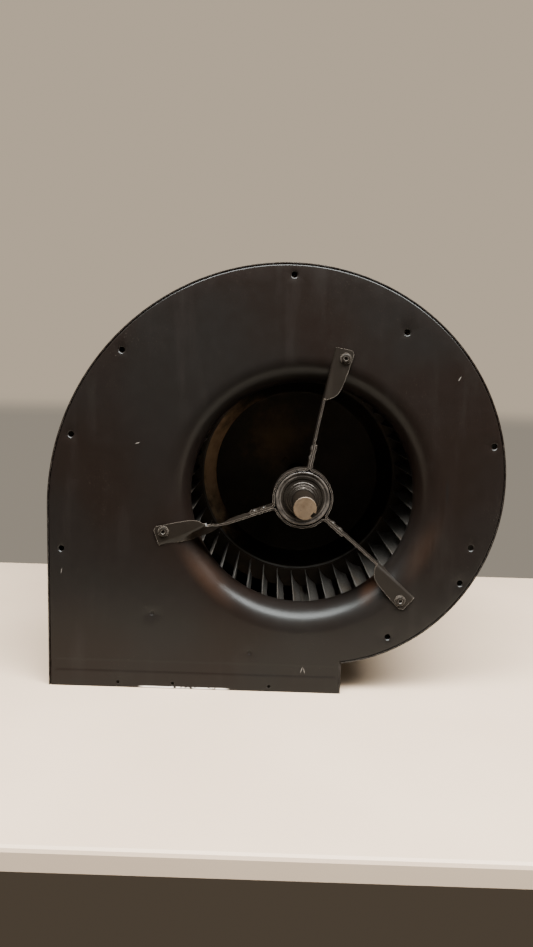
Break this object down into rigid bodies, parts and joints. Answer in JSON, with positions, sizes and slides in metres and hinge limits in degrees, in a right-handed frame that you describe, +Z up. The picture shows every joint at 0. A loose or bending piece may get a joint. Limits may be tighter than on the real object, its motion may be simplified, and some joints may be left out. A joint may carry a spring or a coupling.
{
  "type": "centrifugal blower",
  "caption": "Belt-drive double-inlet centrifugal blower for an exhaust hood: painted scroll housing, three-arm bearing brackets, keyed shaft and forward-curved wheel.",
  "frame": {"origin": "on the surface that the fan stands on, below the middle of its bounding box", "axes": "+Z up, away from the outlet; +Y along the shaft, from the front side plate to the rear one; +X across the front, away from the straight back of the scroll"},
  "size_m": [0.517, 0.523, 0.4885],
  "materials": {
    "housing_paint": "semi-gloss dark bronze-black paint, scuffed and chipped at the edges",
    "bracket_paint": "thin dark paint over formed steel strip, worn at the edges",
    "shaft_steel": "bare turned steel, lightly stained and pitted",
    "bearing_steel": "ground bearing steel, dulled",
    "fastener_steel": "zinc plated, dulled",
    "wheel_steel": "dull galvanised sheet, dusty, with brown stains",
    "rubber": "matt black"
  },
  "bodies": {
    "housing": {"scroll_wrapper": "housing_paint", "cutoff_plate": "housing_paint", "front_side_plate": "housing_paint", "front_bracket_strip_1": "bracket_paint", "front_bracket_rivet_1": "bracket_paint", "front_foot_screw_1": "bracket_paint", "front_foot_nut_1": "fastener_steel", "front_bracket_strip_2": "bracket_paint", "front_bracket_rivet_2": "bracket_paint", "front_foot_screw_2": "bracket_paint", "front_foot_nut_2": "fastener_steel", "front_bracket_strip_3": "bracket_paint", "front_bracket_rivet_3": "bracket_paint", "front_foot_screw_3": "bracket_paint", "front_foot_nut_3": "fastener_steel", "front_rubber_ring": "rubber", "front_bearing_outer_ring": "bearing_steel", "front_outboard_shield": "bearing_steel", "front_inboard_shield": "bearing_steel", "rear_side_plate": "housing_paint", "rear_bracket_strip_1": "bracket_paint", "rear_bracket_rivet_1": "bracket_paint", "rear_foot_screw_1": "bracket_paint", "rear_foot_nut_1": "fastener_steel", "rear_bracket_strip_2": "bracket_paint", "rear_bracket_rivet_2": "bracket_paint", "rear_foot_screw_2": "bracket_paint", "rear_foot_nut_2": "fastener_steel", "rear_bracket_strip_3": "bracket_paint", "rear_bracket_rivet_3": "bracket_paint", "rear_foot_screw_3": "bracket_paint", "rear_foot_nut_3": "fastener_steel", "rear_rubber_ring": "rubber", "rear_bearing_outer_ring": "bearing_steel", "rear_outboard_shield": "bearing_steel", "rear_inboard_shield": "bearing_steel"},
    "rotor": {"shaft": "shaft_steel", "centre_disc": "wheel_steel", "wheel_hub": "fastener_steel", "hub_screw_1": "fastener_steel", "hub_screw_2": "fastener_steel", "hub_rivet_1": "fastener_steel", "hub_rivet_2": "fastener_steel", "hub_rivet_3": "fastener_steel", "hub_rivet_4": "fastener_steel", "front_blade_strip": "wheel_steel", "front_end_ring": "wheel_steel", "front_locking_collar": "bearing_steel", "front_collar_screw": "fastener_steel", "front_bearing_inner_ring": "bearing_steel", "rear_blade_strip": "wheel_steel", "rear_end_ring": "wheel_steel", "rear_locking_collar": "bearing_steel", "rear_collar_screw": "fastener_steel", "rear_bearing_inner_ring": "bearing_steel"},
    "front_ball_set": {"front_bearing_ball_set": "bearing_steel"},
    "rear_ball_set": {"rear_bearing_ball_set": "bearing_steel"}
  },
  "joints": [
    {"name": "wheel_spin", "type": "hinge", "parent": "housing", "child": "rotor", "pos_m": [0.03158, 0, 0.23], "axis": [0, -1, 0], "continuous": true},
    {"name": "front_balls_spin", "type": "hinge", "parent": "housing", "child": "front_ball_set", "pos_m": [0.03158, -0.1895, 0.23], "axis": [0, -1, 0], "continuous": true},
    {"name": "rear_balls_spin", "type": "hinge", "parent": "housing", "child": "rear_ball_set", "pos_m": [0.03158, 0.1895, 0.23], "axis": [0, -1, 0], "continuous": true}
  ],
  "couplings": [
    {"joint": "front_balls_spin", "follows": "wheel_spin", "ratio": 0.397},
    {"joint": "rear_balls_spin", "follows": "wheel_spin", "ratio": 0.397}
  ]
}
